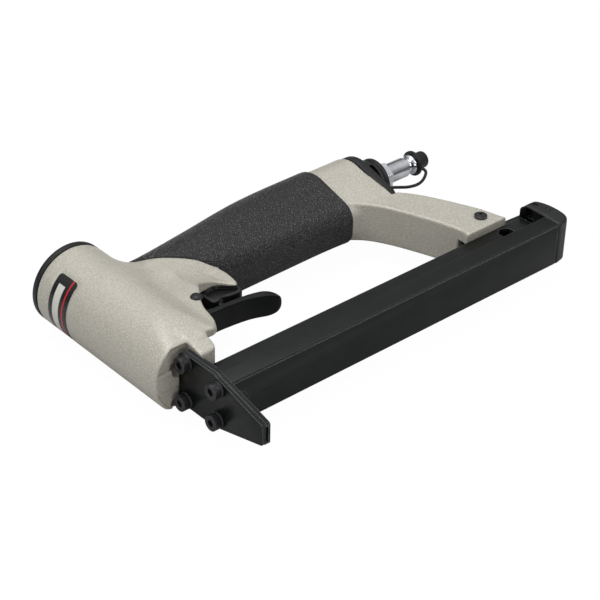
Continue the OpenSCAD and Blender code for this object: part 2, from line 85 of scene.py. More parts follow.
# ---------------------------------------------------------------- camera
# Solved from the photo's outline: the head's round ends, the straight magazine and the nose
CAMERA_AT = (-454.77, -548.77, 532.70)
HEADING, TILT, ROLL = 48.019, 33.593, 1.428
FOCAL_LENGTH = 111.84
cam_data = bpy.data.cameras.new("camera")
cam_data.lens = FOCAL_LENGTH
cam_data.sensor_width = 36.0
cam_data.clip_start = 0.01
cam = bpy.data.objects.new("camera", cam_data)
bpy.context.scene.collection.objects.link(cam)
bpy.context.scene.camera = cam
heading, tilt, roll = math.radians(HEADING), math.radians(TILT), math.radians(ROLL)
forward = Vector((math.cos(tilt) * math.cos(heading), math.cos(tilt) * math.sin(heading),
                  -math.sin(tilt)))
level = Vector((math.sin(heading), -math.cos(heading), 0))
upward = level.cross(forward)
right = math.cos(roll) * level + math.sin(roll) * upward
top = -math.sin(roll) * level + math.cos(roll) * upward
turn = Matrix((right, top, -forward)).transposed()
cam.matrix_world = Matrix.Translation(place(*CAMERA_AT)) @ turn.to_4x4()


# ---------------------------------------------------------------- distance fields
class Field:
    """A block of space cut into cells, on which solids are drawn as signed distances in millimetres."""

    def __init__(self, lo, hi, step):
        self.step = step
        self.lo = np.array(lo, float)
        n = [int(math.ceil((h - l) / step)) + 1 for l, h in zip(lo, hi)]
        ax = [(lo[i] + step * np.arange(n[i])).astype(np.float32) for i in range(3)]
        self.x = ax[0][:, None, None]
        self.y = ax[1][None, :, None]
        self.z = ax[2][None, None, :]


def join(a, b, k):
    """Union with a fillet of about k."""
    h = np.maximum(k - np.abs(a - b), 0) / k
    return np.minimum(a, b) - h * h * k * 0.25


def meet(a, b, k):
    """Intersection with a rounding of about k."""
    return -join(-a, -b, k)


def cut(a, b, k):
    """a with b taken away, its edges rounded by about k."""
    return -join(-a, b, k)


def slab(x, a, b):
    """Distance to the space between x = a and x = b."""
    return np.maximum(a - x, x - b)


def outline(px, py, points):
    """Signed distance from points of a plane to a polygon."""
    pts = np.array(points, float)
    d = np.full(np.broadcast(px, py).shape, 1e9, np.float32)
    inside = np.zeros(d.shape, bool)
    for i in range(len(pts)):
        a, b = pts[i], pts[(i + 1) % len(pts)]
        ex, ey = b - a
        wx, wy = px - a[0], py - a[1]
        t = np.clip((wx * ex + wy * ey) / (ex * ex + ey * ey), 0, 1)
        d = np.minimum(d, (wx - ex * t) ** 2 + (wy - ey * t) ** 2)
        if abs(ey) > 1e-9:
            crosses = (a[1] <= py) != (b[1] <= py)
            inside ^= crosses & (px < a[0] + (py - a[1]) * ex / ey)
    d = np.sqrt(d)
    return np.where(inside, -d, d).astype(np.float32)


def bend(points, per):
    """A closed outline drawn smoothly through the points, with per steps from each to the next."""
    p = np.array(points, float)
    out = []
    n = len(p)
    for i in range(n):
        p0, p1, p2, p3 = p[i - 1], p[i], p[(i + 1) % n], p[(i + 2) % n]
        for t in np.arange(per) / per:
            out.append(0.5 * (2 * p1 + (p2 - p0) * t + (2 * p0 - 5 * p1 + 4 * p2 - p3) * t * t
                              + (3 * p1 - p0 - 3 * p2 + p3) * t ** 3))
    return out


def surface(name, field, d):
    """The skin of a distance field, as a mesh object: one point in each cell that the skin crosses."""
    s = d < 0
    n = np.array(d.shape)
    corner = [(i, j, k) for i in (0, 1) for j in (0, 1) for k in (0, 1)]
    view = lambda a, c: a[c[0]:n[0] - 1 + c[0], c[1]:n[1] - 1 + c[1], c[2]:n[2] - 1 + c[2]]
    count = sum(view(s, c).astype(np.int8) for c in corner)
    cells = np.argwhere((count > 0) & (count < 8))
    number = np.full(n - 1, -1, np.int64)
    number[tuple(cells.T)] = np.arange(len(cells))
    total = np.zeros((len(cells), 3))
    hits = np.zeros(len(cells))
    for a in corner:
        for axis in range(3):
            if a[axis]:
                continue
            b = list(a)
            b[axis] = 1
            fa = d[tuple((cells + a).T)]
            fb = d[tuple((cells + b).T)]
            on = (fa < 0) != (fb < 0)
            t = np.where(on, fa / np.where(on, fa - fb, 1), 0)
            p = np.repeat(np.array([a], float), len(cells), 0)
            p[:, axis] += t
            total += p * on[:, None]
            hits += on
    co = cells + total / hits[:, None]
    gradient = np.gradient(d)

    def sample(arrays, p):
        """Each array's value at points between its cells."""
        q = np.clip(p, 0, n - 1.001)
        i = q.astype(int)
        f = q - i
        out = []
        for arr in arrays:
            v = 0
            for c in corner:
                w = np.prod([f[:, k] if c[k] else 1 - f[:, k] for k in range(3)], axis=0)
                v = v + w * arr[tuple((i + c).T)]
            out.append(v)
        return out

    # Draw each point onto the skin along the field's own slope
    for _ in range(3):
        v, gx, gy, gz = sample([d, *gradient], co)
        g = np.stack([gx, gy, gz], 1)
        g /= np.maximum((g ** 2).sum(1), 1e-6)[:, None]
        co -= np.clip(v[:, None] * g, -0.4, 0.4)
    gx, gy, gz = sample(gradient, co)
    normal = np.stack([gx, gy, gz], 1)
    normal /= np.maximum(np.linalg.norm(normal, axis=1), 1e-9)[:, None]
    faces = []
    for axis in range(3):
        u, w = (axis + 1) % 3, (axis + 2) % 3
        lo = [slice(None)] * 3
        hi = [slice(None)] * 3
        lo[axis], hi[axis] = slice(0, -1), slice(1, None)
        edges = np.argwhere(s[tuple(lo)] != s[tuple(hi)])
        keep = (edges[:, u] > 0) & (edges[:, w] > 0)
        keep = keep & (edges[:, u] < n[u] - 1) & (edges[:, w] < n[w] - 1)
        edges = edges[keep]
        eu, ew = np.eye(3, dtype=int)[u], np.eye(3, dtype=int)[w]
        ring = [number[tuple((edges - a).T)] for a in (eu * 0, eu, eu + ew, ew)]
        quad = np.stack(ring, 1)
        flip = ~s[tuple(edges.T)]
        quad[flip] = quad[flip][:, ::-1]
        faces.append(quad)
    faces = np.concatenate(faces)
    verts = (field.lo + co * field.step + SHIFT) * MM
    me = bpy.data.meshes.new(name)
    me.vertices.add(len(verts))
    me.vertices.foreach_set("co", verts.astype(np.float32).ravel())
    me.loops.add(faces.size)
    me.loops.foreach_set("vertex_index", faces.astype(np.int32).ravel())
    me.polygons.add(len(faces))
    me.polygons.foreach_set("loop_start", np.arange(0, faces.size, 4, dtype=np.int32))
    me.update(calc_edges=True)
    me.validate()
    me.polygons.foreach_set("use_smooth", np.ones(len(me.polygons), bool))
    me.normals_split_custom_set_from_vertices([tuple(v) for v in normal])
    ob = bpy.data.objects.new(name, me)
    bpy.context.scene.collection.objects.link(ob)
    return ob


# ---------------------------------------------------------------- materials
class Nodes:
    """Short ways to add shader nodes to one material."""

    def __init__(self, name):
        self.mat = bpy.data.materials.new(name)
        self.mat.use_nodes = True
        self.tree = self.mat.node_tree
        self.tree.nodes.clear()
        self.out = self.tree.nodes.new("ShaderNodeOutputMaterial")
        self.bsdf = self.add("ShaderNodeBsdfPrincipled")
        self.link(self.bsdf, "BSDF", self.out, "Surface")
        self.where = self.add("ShaderNodeTexCoord")

    def add(self, kind, **values):
        node = self.tree.nodes.new(kind)
        for key, value in values.items():
            if hasattr(node, key):
                setattr(node, key, value)
            else:
                node.inputs[key.replace("_", " ")].default_value = value
        return node

    def link(self, a, out, b, into):
        self.tree.links.new(a.outputs[out], b.inputs[into])

    def noise(self, scale, detail=3.0, rough=0.5, stretch=None):
        node = self.add("ShaderNodeTexNoise", Scale=scale, Detail=detail, Roughness=rough)
        self._aim(node, stretch)
        return node

    def cells(self, scale, feature="F1", stretch=None):
        node = self.add("ShaderNodeTexVoronoi", Scale=scale)
        node.feature = feature
        self._aim(node, stretch)
        return node

    def _aim(self, node, stretch):
        if stretch is None:
            self.link(self.where, "Object", node, "Vector")
            return
        mapping = self.add("ShaderNodeMapping")
        mapping.inputs["Scale"].default_value = stretch
        self.link(self.where, "Object", mapping, "Vector")
        self.link(mapping, "Vector", node, "Vector")

    def ramp(self, source, out, low, high, a, b):
        node = self.add("ShaderNodeMapRange")
        node.inputs["From Min"].default_value = low
        node.inputs["From Max"].default_value = high
        node.inputs["To Min"].default_value = a
        node.inputs["To Max"].default_value = b
        self.link(source, out, node, "Value")
        return node

    def mix(self, source, out, a, b):
        """A colour between a and b. Either may be a node with a colour output."""
        node = self.add("ShaderNodeMix", data_type="RGBA")
        self.tree.links.new(source.outputs[out], node.inputs[0])
        for value, socket in ((a, node.inputs[6]), (b, node.inputs[7])):
            if isinstance(value, tuple):
                socket.default_value = value
            else:
                colour = 2 if value.bl_idname == "ShaderNodeMix" else "Color"
                self.tree.links.new(value.outputs[colour], socket)
        return node

    def colour(self, mix):
        self.tree.links.new(mix.outputs[2], self.bsdf.inputs["Base Color"])

    def rough(self, source, out, low, high, a, b):
        self.link(self.ramp(source, out, low, high, a, b), "Result", self.bsdf, "Roughness")

    def bump(self, *layers):
        """Each layer is (node, output, strength, distance in millimetres)."""
        last = None
        for source, out, strength, distance in layers:
            node = self.add("ShaderNodeBump", Strength=strength, Distance=distance * MM)
            self.link(source, out, node, "Height")
            if last is not None:
                self.link(last, "Normal", node, "Normal")
            last = node
        self.link(last, "Normal", self.bsdf, "Normal")
        return last

    def edge_wear_and_highlight(self, base, light, amount, radius=0.5):
        """base, lightened along convex edges: partly wear where handling polishes a coating, partly a
        painted highlight along the edges.
        """
        geometry = self.add("ShaderNodeNewGeometry")
        bevel = self.add("ShaderNodeBevel", samples=4, Radius=radius * MM)
        dot = self.add("ShaderNodeVectorMath", operation="DOT_PRODUCT")
        self.link(geometry, "Normal", dot, 0)
        self.link(bevel, "Normal", dot, 1)
        # The convex-edge mask: its pale colour stands partly for wear and partly for a painted highlight
        # along the edges.
        edge = self.ramp(dot, "Value", 0.995, 0.9, 0.0, amount)
        grain = self.noise(900, 4, 0.6)
        both = self.add("ShaderNodeMath", operation="MULTIPLY")
        self.link(edge, "Result", both, 0)
        self.link(self.ramp(grain, "Fac", 0.4, 0.65, 0.65, 1.0), "Result", both, 1)
        return self.mix(both, "Value", base, light)


def paint():
    """Warm grey enamel with light and dark flecks."""
    m = Nodes("speckled_paint")
    grain = m.noise(1500, 3, 0.65)
    fleck = m.cells(1250)
    dark = m.cells(900)
    cloud = m.noise(35, 3)
    base = m.mix(m.ramp(grain, "Fac", 0.32, 0.68, 0, 1), "Result",
                 srgb(158, 153, 141), srgb(196, 193, 182))
    flecks = m.mix(m.ramp(fleck, "Distance", 0.3, 0.12, 0, 0.7), "Result", base, srgb(230, 228, 220))
    flecks = m.mix(m.ramp(dark, "Distance", 0.2, 0.1, 0, 0.3), "Result", flecks, srgb(120, 114, 100))
    m.colour(m.mix(m.ramp(cloud, "Fac", 0.35, 0.65, 0, 0.1), "Result", flecks, srgb(160, 154, 140)))
    m.rough(grain, "Fac", 0.3, 0.7, 0.5, 0.34)
    m.bsdf.inputs["Metallic"].default_value = 0.1
    m.bsdf.inputs["Coat Weight"].default_value = 0.15
    m.bsdf.inputs["Coat Roughness"].default_value = 0.22
    m.bump((grain, "Fac", 0.35, 0.12), (m.noise(420, 2), "Fac", 0.25, 0.25))
    return m.mat


def grip_rubber():
    """Black rubber with a leather grain, painted darker in the grain's creases as painted shade."""
    m = Nodes("grained_rubber")
    pebble = m.cells(980, "SMOOTH_F1")
    pebble.inputs["Smoothness"].default_value = 0.4
    crease = m.cells(860, "DISTANCE_TO_EDGE", stretch=(0.75, 1.0, 1.0))
    fine = m.noise(2600, 3, 0.6)
    cloud = m.noise(45, 3)
    # The grain's creases are painted darker than the pebble tops: painted shade in the creases.
    crease_shaded_tone = m.mix(m.ramp(crease, "Distance", 0.0, 0.18, 0, 1), "Result", srgb(8, 8, 9), srgb(40, 40, 43))
    m.colour(m.mix(m.ramp(cloud, "Fac", 0.35, 0.65, 0, 0.25), "Result", crease_shaded_tone, srgb(30, 30, 32)))
    m.rough(fine, "Fac", 0.3, 0.7, 0.42, 0.26)
    m.bump((crease, "Distance", 0.95, 0.8), (pebble, "Distance", 0.4, 0.25), (fine, "Fac", 0.15, 0.08))
    return m.mat


def coated_steel(name="coated_steel", dark=(9, 11, 11), light=(16, 19, 19), rough=(0.4, 0.28), wear_and_highlight=0.7):
    """Black-coated steel, lighter along its edges with wear and a painted highlight."""
    m = Nodes(name)
    fine = m.noise(1500, 3, 0.6)
    cloud = m.noise(70, 4)
    base = m.mix(m.ramp(cloud, "Fac", 0.35, 0.65, 0, 1), "Result", srgb(*dark), srgb(*light))
    # The pale edge colour is partly wear and partly a painted highlight along the edges.
    m.colour(m.edge_wear_and_highlight(base, srgb(146, 149, 154), wear_and_highlight))
    m.rough(fine, "Fac", 0.3, 0.7, *rough)
    m.bsdf.inputs["Specular IOR Level"].default_value = 0.26
    m.bump((fine, "Fac", 0.12, 0.06), (cloud, "Fac", 0.04, 0.4))
    return m.mat


def plastic(name, dark, light, rough, grain, strength):
    """Moulded plastic or rubber between two tones, with a fine grain."""
    m = Nodes(name)
    fine = m.noise(grain, 3, 0.6)
    cloud = m.noise(55, 3)
    m.colour(m.mix(m.ramp(cloud, "Fac", 0.35, 0.65, 0, 1), "Result", srgb(*dark), srgb(*light)))
    m.rough(fine, "Fac", 0.3, 0.7, rough[0], rough[1])
    m.bsdf.inputs["Specular IOR Level"].default_value = 0.4
    m.bump((fine, "Fac", strength, 0.1), (m.noise(260, 2), "Fac", 0.04, 0.3))
    return m.mat


def bare_metal(name, dark, light, rough, stretch, strength=0.12):
    """Uncoated metal with faint tool marks drawn out by stretch."""
    m = Nodes(name)
    lines = m.noise(220, 4, 0.65, stretch=stretch)
    cloud = m.noise(120, 4)
    m.colour(m.mix(m.ramp(cloud, "Fac", 0.35, 0.65, 0, 1), "Result", srgb(*dark), srgb(*light)))
    m.bsdf.inputs["Metallic"].default_value = 1.0
    m.rough(lines, "Fac", 0.3, 0.7, rough[0], rough[1])
    m.bump((lines, "Fac", strength, 0.06))
    return m.mat


def label_film():
    """Black film with a thin red line along the head and a plain pale bar, with no lettering."""
    m = Nodes("label_film")
    lo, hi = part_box("label")
    split = m.add("ShaderNodeSeparateXYZ")
    m.link(m.where, "Object", split, "Vector")

    def distance(source, out, middle):
        """How far a value is from the middle."""
        off = m.add("ShaderNodeMath", operation="SUBTRACT")
        m.link(source, out, off, 0)
        off.inputs[1].default_value = middle
        size = m.add("ShaderNodeMath", operation="ABSOLUTE")
        m.link(off, "Value", size, 0)
        return size

    depth = m.add("ShaderNodeMath", operation="SUBTRACT")
    depth.inputs[0].default_value = HEAD_X
    m.link(split, "X", depth, 1)
    lift = m.add("ShaderNodeMath", operation="SUBTRACT")
    m.link(split, "Z", lift, 0)
    lift.inputs[1].default_value = (lo.z + hi.z) / 2
    angle = m.add("ShaderNodeMath", operation="ARCTAN2")
    m.link(lift, "Value", angle, 0)
    m.link(depth, "Value", angle, 1)
    stripe = m.ramp(distance(split, "Y", lo.y + 0.0035), "Value", 0.0006, 0.00045, 0, 1)
    bar = m.ramp(distance(split, "Y", lo.y + 0.0092), "Value", 0.0027, 0.0024, 0, 1)
    ends = m.ramp(distance(angle, "Value", 0.0), "Value", 0.72, 0.7, 0, 1)
    pale = m.add("ShaderNodeMath", operation="MULTIPLY")
    m.link(bar, "Result", pale, 0)
    m.link(ends, "Result", pale, 1)
    fine = m.noise(1800, 3)
    base = m.mix(m.ramp(fine, "Fac", 0.3, 0.7, 0, 1), "Result", srgb(14, 14, 15), srgb(24, 24, 25))
    base = m.mix(stripe, "Result", base, srgb(190, 26, 40))
    m.colour(m.mix(pale, "Value", base, srgb(205, 203, 196)))
    m.rough(fine, "Fac", 0.3, 0.7, 0.34, 0.24)
    m.bump((fine, "Fac", 0.06, 0.05))
    return m.mat


MATERIAL = {
    "housing_paint": paint(),
    "grip_rubber": grip_rubber(),
    "black_plastic": plastic("satin_plastic", (13, 14, 15), (24, 25, 27), (0.46, 0.32), 1400, 0.16),
    "trigger_plastic": plastic("gloss_plastic", (20, 20, 22), (30, 30, 32), (0.34, 0.22), 900, 0.05),
    "seal_rubber": plastic("seal_rubber", (16, 16, 16), (26, 26, 26), (0.75, 0.6), 1100, 0.2),
    "tether_rubber": plastic("tether_rubber", (14, 14, 14), (24, 24, 25), (0.5, 0.36), 1200, 0.1),
    "black_steel": coated_steel("black_steel", (26, 26, 28), (40, 40, 42), (0.38, 0.26), 0.5),
    "coated_steel": coated_steel(),
    "label_film": label_film(),
    "aluminium": bare_metal("turned_aluminium", (190, 190, 192), (214, 214, 216), (0.34, 0.24),
                            (1, 40, 1)),
    "bright_steel": bare_metal("brushed_steel", (150, 150, 152), (184, 184, 186), (0.36, 0.26),
                               (1, 40, 1)),
    "chrome_steel": bare_metal("plated_steel", (196, 199, 204), (228, 231, 236), (0.1, 0.04),
                               (60, 1, 1), 0.03),
}
SLOT = {s["node"]: s["material_slot"] for s in frame["record"]["subparts"]}
BODY = {n: b for b, names in frame["record"]["behaviour"]["bodies"].items() for n in names}


def dress(ob, slot):
    """Gives an object the one material of a slot."""
    ob.data.materials.clear()
    ob.data.materials.append(MATERIAL[slot])
    return ob


def stand_for(ob, *nodes):
    """ob moves with the nodes' body, takes their finish and is shown in their place."""
    dress(ob, SLOT[nodes[0]])
    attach(ob, BODY[nodes[0]])
    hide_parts(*nodes)
    return ob


for node, ob in frame["nodes"].items():
    for i in range(len(ob.data.materials)):
        ob.data.materials[i] = MATERIAL[SLOT[node]]


BEVEL_SEGMENTS = 3
BEVEL_ANGLE = 28.0
SHARP_ANGLE = 34.0


def eased(node, width):
    """A CAD node's shape with its edges rounded by width, in millimetres."""
    source = frame["nodes"][node]
    bm = bmesh.new()
    bm.from_mesh(source.data)
    bmesh.ops.remove_doubles(bm, verts=bm.verts, dist=2e-6)
    bmesh.ops.dissolve_limit(bm, angle_limit=math.radians(0.6), verts=bm.verts, edges=bm.edges)
    me = bpy.data.meshes.new(node + "_shape")
    bm.to_mesh(me)
    bm.free()
    ob = bpy.data.objects.new(node + "_shape", me)
    bpy.context.scene.collection.objects.link(ob)
    mod = ob.modifiers.new("edges", "BEVEL")
    mod.width = width * MM
    mod.segments = BEVEL_SEGMENTS
    mod.limit_method = "ANGLE"
    mod.angle_limit = math.radians(BEVEL_ANGLE)
    mod.harden_normals = True
    mod.use_clamp_overlap = True
    bpy.context.view_layer.objects.active = ob
    for p in me.polygons:
        p.use_smooth = True
    bpy.context.view_layer.update()
    done = bpy.data.meshes.new_from_object(ob.evaluated_get(bpy.context.evaluated_depsgraph_get()))
    ob.modifiers.clear()
    ob.data = done
    done.polygons.foreach_set("use_smooth", np.ones(len(done.polygons), bool))
    done.set_sharp_from_angle(angle=math.radians(SHARP_ANGLE))
    return stand_for(ob, node)


# ---------------------------------------------------------------- handle shape
# At each station along x: the height and radius of the handle's round back, then the height,
# offset and radius of its two belly corners
STATION = np.array([4, 30, 60, 100, 152, 186], float)
BACK_Y = np.array([101.5, 103.1, 106.4, 111.9, 114.9, 113.8])
BACK_R = np.array([16.8, 17.1, 17.9, 18.6, 18.0, 18.9])
BELLY_Y = np.array([94.5, 95.0, 94.6, 92.3, 92.8, 88.8])
BELLY_Z = np.array([9.0, 9.0, 7.0, 4.6, 3.4, 5.6])
BELLY_R = np.array([7.8, 7.8, 7.6, 7.2, 8.6, 7.2])


def along(values, x):
    """values, given at the stations, drawn smoothly to every x."""
    i = np.clip(np.searchsorted(STATION, x) - 1, 0, len(STATION) - 2)
    slope = np.gradient(values, STATION)
    h = STATION[i + 1] - STATION[i]
    t = np.clip((x - STATION[i]) / h, -0.5, 1.5)
    start = (2 * t ** 3 - 3 * t ** 2 + 1) * values[i] + (t ** 3 - 2 * t ** 2 + t) * h * slope[i]
    end = (-2 * t ** 3 + 3 * t ** 2) * values[i + 1] + (t ** 3 - t ** 2) * h * slope[i + 1]
    return (start + end).astype(np.float32)


def handle_field(f):
    """Distance to the handle's section at each x: a round back over two smaller belly corners."""
    ya, ra = along(BACK_Y, f.x), along(BACK_R, f.x)
    yb, zb, rb = along(BELLY_Y, f.x), along(BELLY_Z, f.x), along(BELLY_R, f.x)
    az = np.abs(f.z)
    dy, dz = yb - ya, zb
    span = np.sqrt(dy * dy + dz * dz)
    ty, tz = dy / span, dz / span
    lean = (ra - rb) / span
    side = np.sqrt(1 - lean * lean)
    ny, nz = lean * ty + side * tz, lean * tz - side * ty
    sy, sz = (ty - lean * ny) / side, (tz - lean * nz) / side
    wy, wz = f.y - ya, az
    run = wy * sy + wz * sz
    flat = wy * ny + wz * nz - ra
    back = np.sqrt(wy * wy + wz * wz) - ra
    belly = np.sqrt((f.y - yb) ** 2 + (az - zb) ** 2) - rb
    d = np.where(run < 0, back, np.where(run > span * side, belly, flat))
    return np.where((az < zb) & (f.y < yb), (yb - rb) - f.y, d).astype(np.float32)


# ---------------------------------------------------------------- housing
HEAD_TOP = 133.6
HEAD_BOTTOM = 33.9
HANDLE_END = 178.3
ARM_FOOT = 24.3
PIVOT = (26, 63)
# Outlines seen from the side
WEB = [[0, 36.6], [10.7, 36.4], [13.7, 35.9], [16.3, 36.8], [19.1, 39.5], [21.1, 43], [22.4, 48.1],
       [23.7, 53.3], [25.6, 57.9], [28.5, 62.9], [31.8, 67.7], [34.4, 71.4], [36.4, 74.2], [39.2, 75.5],
       [48.4, 75.7], [55.8, 69.4], [58.6, 70.6], [60, 79], [59.7, 84.4], [56.8, 86.3], [52.4, 89.1],
       [46.6, 93.9], [40, 98.6], [0, 102]]
UNDER_WEB = [[8.75, 20], [8.75, 36.4]] + WEB[1:10] + [[60, 62.9], [60, 20]]
ARM = [[152.1, 99], [152.1, 89.6], [154, 87.8], [161, 81], [167, 71], [173, 57], [178, 43], [181, 31],
       [181.6, 20], [196, 18], [212.5, 18], [209.4, 27], [206.3, 39], [201.3, 51], [196.3, 61.6],
       [191.3, 71], [185.6, 79], [179.5, 84.5], [176, 97], [162, 104]]
GRIP_FRONT = [[-20, 60], [-20, 141.6], [25.9, 109.4], [36.4, 102], [46.9, 94.6], [52.7, 89.8],
              [57.2, 87], [60.6, 86], [60.6, 60]]
LUG = [[-2.3, 24.3], [5.2, 24.3], [7.4, 25.2], [8.6, 27.4], [8.9, 30], [8.9, 44], [-2.3, 44]]
TRIGGER = [[22.4, 60.4], [26, 59.4], [31, 59.2], [37, 59.1], [43, 58.8], [52, 57.9], [58, 56.7],
           [63, 54.9], [67.6, 52.8], [70.8, 51.7], [73.2, 51.9], [73.9, 53.6], [72.6, 55.4],
           [69.4, 57.2], [64, 59.3], [58, 60.9], [50, 61.9], [43, 62.4], [36, 62.7], [31, 64.2],
           [27, 65.8], [23, 65]]
VALVE_BLOCK = [[38.4, 68.4], [39.6, 66], [42.2, 65.4], [46.2, 66.6], [50, 65.6], [54, 64.9],
               [57.4, 65.3], [58.9, 67.4], [58.9, 70.6], [55, 75], [50.6, 79], [50, 83],
               [50, 88.2], [38.6, 88.2], [38.3, 78]]
VALVE_HOLLOW = [[41, 70.4], [44.6, 68.2], [50, 67.8], [55.6, 67.6], [56.4, 70.2], [52.6, 74.2],
                [49, 76.6], [43, 76.2], [41, 74.6]]
END_CAP = [[225.6, 0.1], [230.6, 0.1], [234, 1.3], [236.1, 4.3], [237.0, 8.4], [237.2, 12.6],
           [236.9, 17], [235.8, 21.6], [234, 24.8], [231, 25.7], [226, 25.7], [222.6, 25.7],
           [222.5, 24.4], [225.4, 24.4], [225.6, 18], [225.6, 8]]


def disc(x, y, at, radius):
    """Distance to a round bore or pin along z."""
    return np.sqrt((x - at[0]) ** 2 + (y - at[1]) ** 2) - radius


def head_and_web(f, flat, radius, taper):
    """The head with its recess, the handle that runs from it, the web between them and the lug."""
    x, y, z = f.x, f.y, f.z
    az = np.abs(z)
    head = meet(radius - HEAD_R, np.maximum(y - HEAD_TOP, HEAD_BOTTOM - y) + 0 * x, 1.6)
    head = np.maximum(head, y - HEAD_TOP)
    head = meet(head, taper, 2.6)
    floor_y = np.where(z > 0, y - 36.2, y - 34.7)
    well = np.maximum(np.maximum(radius - 21.4, taper + 1.3), floor_y)
    head = cut(head, np.maximum(well, 5.2 - az), 0.3)
    head = cut(head, outline(x, y, UNDER_WEB) * flat, 1.6)
    handle = handle_field(f)
    handle = meet(handle, slab(x, 2.0, HANDLE_END) + 0 * y, 0.8)
    body = join(head, handle, 9.0)
    web = outline(x, y, bend(WEB, 5)) * flat
    swell = 17.3 - 0.10 * np.maximum(y - 70, 0) - 0.34 * np.maximum(x - 32, 0)
    web = meet(web, az - np.maximum(swell, 9.4), 1.5)
    body = join(body, web, 4.0)
    hollow = np.maximum(np.maximum(az - 13.5, y - 46.5), slab(x, 8.9, 30))
    body = cut(body, hollow, 0.8)
    lug = outline(x, y, LUG) * flat
    lug = meet(lug, np.maximum(taper, radius - 20.6), 1.6)
    return join(body, lug, 1.0)


def rear_arm(f, flat):
    """The arm from the handle down to the magazine, not yet joined to the rest."""
    arm = outline(f.x, f.y, bend(ARM, 5)) * flat
    arm = meet(arm, np.abs(f.z) - 12.0, 1.8)
    return meet(arm, ARM_FOOT - f.y + 0 * arm, 0.8)


def build_housing():
    """The painted casting: head, web, handle and rear arm in one skin."""
    f = Field((-24.2, 22.6, -24.2), (211, 135, 24.2), 0.6)
    x, y, z = f.x, f.y, f.z
    az = np.abs(z)
    flat = np.ones_like(z)
    radius = np.sqrt(x * x + z * z)
    taper = az - 15.7 - 0.26 * (y - ARM_FOOT) + 0 * x
    body = head_and_web(f, flat, radius, taper)
    body = join(body, rear_arm(f, flat), 1.5 + 5.0 * np.clip((x - 155) / 14, 0, 1))
    body = meet(body, x - HANDLE_END - 40 * (y < 81.0), 0.6)
    # Openings: the trigger's gap, its valve's seat, the nose's pocket with two notches for screws,
    # the arm's fork, the trigger pin's holes and the label's bed
    gap = np.maximum(np.maximum(az - 7.5, y - 84), slab(x, 20.8, 64))
    body = cut(body, gap, 1.0)
    valve_seat = np.maximum(np.maximum(az - 7.9, slab(x, 38.1, 58.9)), y - 88.2)
    body = cut(body, valve_seat, 0.5)
    nose_pocket = np.maximum(az - 15.9, np.maximum(slab(x, -7.8, -2.3), y - 35.4))
    body = cut(body, nose_pocket, 0.6)
    for hx, hz, hr in ((-8, 4, 4.0), (-9.5, -15.5, 3.0)):
        notch = np.sqrt((x - hx) ** 2 + (z - hz) ** 2) - hr
        body = cut(body, np.maximum(notch, y - 44), 0.4)
    rear_slot = np.maximum(y - 36, 184.6 - x)
    front_slot = np.maximum(y - 31.5, 175 - x)
    body = cut(body, np.maximum(az - 5.1, np.minimum(rear_slot, front_slot)), 0.5)
    body = cut(body, np.maximum(disc(x, y, PIVOT, 2.3), 16.2 - az), 0.6)
    around = np.abs(np.arctan2(z, -x)) * HEAD_R - HEAD_R + 0 * y
    label_bed = meet(slab(y, 106.9, 124.1) + 0 * around, around, 2.4)
    body = cut(body, np.maximum(22.66 - radius, label_bed), 0.4)
    return stand_for(surface("housing_skin", f, body), "housing")


RUBBER_OUT = 1.5    # how far the rubber stands off the handle, and how far it goes into it
RUBBER_IN = 1.2
RUBBER_END = 152.0


def build_grip():
    """The rubber over the handle, cut back from the head and square at its rear end."""
    f = Field((14, 78, -22.4), (154.6, 138, 22.4), 0.65)
    x, y, z = f.x, f.y, f.z
    handle = handle_field(f)
    rubber = handle - RUBBER_OUT
    front = -outline(x, y, GRIP_FRONT) * np.ones_like(z)
    head = 24.2 - np.sqrt(x * x + z * z) + 0 * y
    rubber = meet(rubber, np.maximum(front, head), 1.6)
    rubber = meet(rubber, x - RUBBER_END + 0 * y + 0 * z, 1.5)
    rubber = meet(rubber, -(handle + RUBBER_IN), 0.3)
    return stand_for(surface("grip_rubber_skin", f, rubber), "grip_sleeve")


def build_trigger():
    """The trigger lever, with a rounded tip."""
    f = Field((19, 50.5, -8), (76, 69.5, 8), 0.32)
    x, y, z = f.x, f.y, f.z
    side = outline(x, y, bend(TRIGGER, 5))[:, :, :1] * np.ones_like(z)
    lever = join(side, disc(x, y, PIVOT, 4.2) + 0 * z, 1.0)
    tip = np.sqrt((0.67 * np.maximum(x - 63.6, 0)) ** 2 + z * z) - 7.0 + 0 * y
    lever = meet(lever, tip, 1.3)
    lever = cut(lever, disc(x, y, PIVOT, 2.06) + 0 * z, 0.3)
    return stand_for(surface("trigger_lever", f, lever), "trigger")


def build_valve_block():
    """The trigger valve's block, hollowed on both sides and bored for its stem."""
    f = Field((37.5, 63, -8), (60, 90, 8), 0.3)
    x, y, z = f.x, f.y, f.z
    az = np.abs(z)
    flat = np.ones_like(z)
    side = outline(x, y, bend(VALVE_BLOCK, 5)) * flat
    block = meet(side, az - 7.3, 1.1)
    hollow = outline(x, y, bend(VALVE_HOLLOW, 4)) * flat
    block = cut(block, np.maximum(hollow, 5.6 - az), 1.2)
    block = cut(block, np.sqrt((x - 48) ** 2 + z * z) - 2.2 + 0 * y, 0.4)
    return stand_for(surface("trigger_valve_block", f, block), "trigger_valve_housing")


